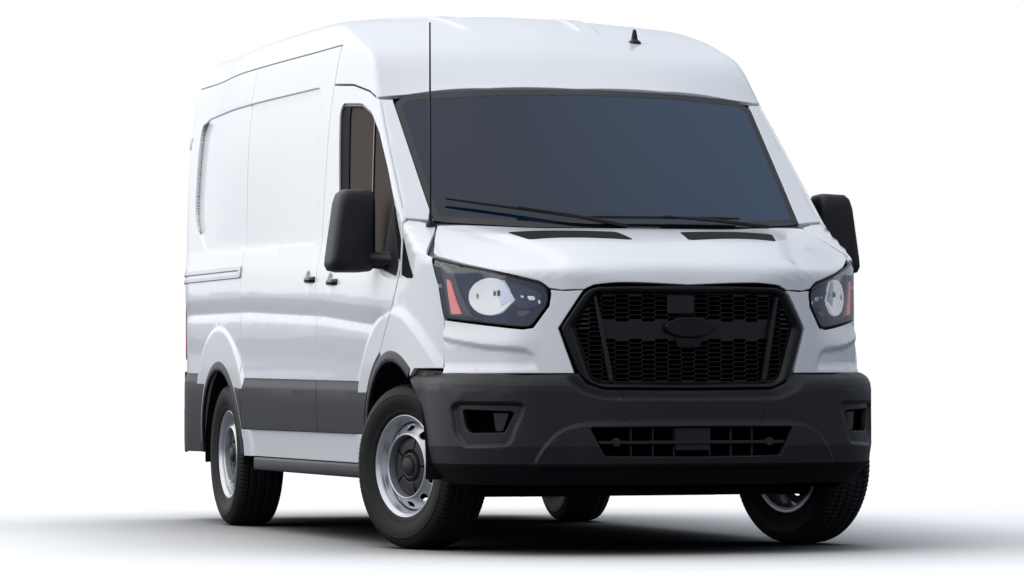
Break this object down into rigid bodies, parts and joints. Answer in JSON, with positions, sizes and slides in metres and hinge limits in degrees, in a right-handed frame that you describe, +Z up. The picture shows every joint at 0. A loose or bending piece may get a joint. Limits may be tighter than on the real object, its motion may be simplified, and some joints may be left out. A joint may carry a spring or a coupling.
{
  "type": "panel van",
  "caption": "Medium-roof panel van with hinged cab and rear doors, side sliding door, steered front wheels and steel rims.",
  "frame": {"origin": "on the ground, in the middle of the van's outline", "axes": "+Z up, -Y the way the van drives, -X its right side with the sliding door"},
  "size_m": [2.474, 5.587, 2.5288],
  "materials": {
    "white_paint": "bright white gloss paint",
    "tinted_glass": "tinted safety glass",
    "grained_plastic": "dark grey moulded plastic with a fine grain",
    "gloss_black": "black moulded plastic",
    "lamp_lens": "clear lens over a dark housing",
    "red_lens": "red moulded lens",
    "underbody_paint": "matt black underbody paint",
    "cast_metal": "rough cast metal",
    "steel": "bare and brushed steel",
    "wheel_steel": "silver paint on pressed steel",
    "tyre_rubber": "black tyre rubber",
    "seat_cloth": "dark grey woven cloth",
    "cab_plastic": "dark cab trim"
  },
  "bodies": {
    "van": {"roof_panel": "white_paint", "side_panel_right": "white_paint", "side_panel_left": "white_paint", "sliding_door": "white_paint", "scuttle_and_pillars": "white_paint", "fenders": "white_paint", "windscreen": "tinted_glass", "front_fascia": "white_paint", "headlamps": "lamp_lens", "grille": "gloss_black", "front_bumper": "grained_plastic", "door_frames": "white_paint", "floor_pan": "underbody_paint", "bulkhead": "underbody_paint", "wheel_housings": "underbody_paint", "chassis_rails": "underbody_paint", "engine_block": "cast_metal", "driveline": "cast_metal", "fuel_tank": "grained_plastic", "exhaust": "steel", "front_subframe": "cast_metal", "rear_axle": "cast_metal", "rear_bumper": "grained_plastic", "side_cladding": "grained_plastic", "running_boards": "grained_plastic", "slide_rail": "steel", "tail_lamps": "red_lens", "dashboard": "cab_plastic", "seats": "seat_cloth", "aerials": "grained_plastic", "wipers": "grained_plastic"},
    "front_door_right_body": {"front_door_right": "white_paint", "door_glass_right": "tinted_glass", "door_cladding_right": "grained_plastic", "mirror_right": "grained_plastic"},
    "front_door_left_body": {"front_door_left": "white_paint", "door_glass_left": "tinted_glass", "door_cladding_left": "grained_plastic", "mirror_left": "grained_plastic"},
    "bonnet_body": {"bonnet": "white_paint"},
    "rear_door_right_body": {"rear_door_right": "white_paint"},
    "rear_door_left_body": {"rear_door_left": "white_paint"},
    "steer_right_body": {"knuckle_right": "cast_metal"},
    "steer_left_body": {"knuckle_left": "cast_metal"},
    "steering_wheel_body": {"steering_wheel": "cab_plastic"},
    "wheel_front_right": {"tyre_front_right": "tyre_rubber", "rim_front_right": "wheel_steel"},
    "wheel_front_left": {"tyre_front_left": "tyre_rubber", "rim_front_left": "wheel_steel"},
    "wheel_rear_right": {"tyre_rear_right": "tyre_rubber", "rim_rear_right": "wheel_steel"},
    "wheel_rear_left": {"tyre_rear_left": "tyre_rubber", "rim_rear_left": "wheel_steel"}
  },
  "joints": [
    {"name": "steer_right", "type": "hinge", "parent": "van", "child": "steer_right_body", "pos_m": [-0.87, -1.7695, 0.356], "axis": [0, 0, 1], "range_deg": [-56.5, 17.3]},
    {"name": "steer_left", "type": "hinge", "parent": "van", "child": "steer_left_body", "pos_m": [0.87, -1.7695, 0.356], "axis": [0, 0, 1], "range_deg": [-56.5, 17.3]},
    {"name": "steering_wheel_turn", "type": "hinge", "parent": "van", "child": "steering_wheel_body", "pos_m": [0.43645, -1.15515, 1.3409], "axis": [0, 0.4226, 0.9063], "range_deg": [-848.5, 260.5]},
    {"name": "front_door_right_swing", "type": "hinge", "parent": "van", "child": "front_door_right_body", "pos_m": [-1.012, -1.868, 1.1], "axis": [0, 0, 1], "range_deg": [0, 70]},
    {"name": "front_door_left_swing", "type": "hinge", "parent": "van", "child": "front_door_left_body", "pos_m": [1.012, -1.868, 1.1], "axis": [0, 0, -1], "range_deg": [0, 70]},
    {"name": "bonnet_lift", "type": "hinge", "parent": "van", "child": "bonnet_body", "pos_m": [0, -1.885, 1.425], "axis": [-1, 0, 0], "range_deg": [0, 60]},
    {"name": "rear_door_right_swing", "type": "hinge", "parent": "van", "child": "rear_door_right_body", "pos_m": [-0.81788, 2.715, 1.4], "axis": [0, 0, 1], "range_deg": [0, 180]},
    {"name": "rear_door_left_swing", "type": "hinge", "parent": "van", "child": "rear_door_left_body", "pos_m": [0.81788, 2.715, 1.4], "axis": [0, 0, -1], "range_deg": [0, 180]},
    {"name": "wheel_front_right_spin", "type": "hinge", "parent": "steer_right_body", "child": "wheel_front_right", "pos_m": [-0.87, -1.7695, 0.356], "axis": [0.9421, 0.3355, 0], "continuous": true},
    {"name": "wheel_front_left_spin", "type": "hinge", "parent": "steer_left_body", "child": "wheel_front_left", "pos_m": [0.87, -1.7695, 0.356], "axis": [0.9421, 0.3355, 0], "continuous": true},
    {"name": "wheel_rear_right_spin", "type": "hinge", "parent": "van", "child": "wheel_rear_right", "pos_m": [-0.868, 1.5305, 0.356], "axis": [1, 0, 0], "continuous": true},
    {"name": "wheel_rear_left_spin", "type": "hinge", "parent": "van", "child": "wheel_rear_left", "pos_m": [0.868, 1.5305, 0.356], "axis": [1, 0, 0], "continuous": true}
  ],
  "couplings": [
    {"joint": "steer_left", "follows": "steer_right", "ratio": 1},
    {"joint": "steering_wheel_turn", "follows": "steer_right", "ratio": 15}
  ]
}
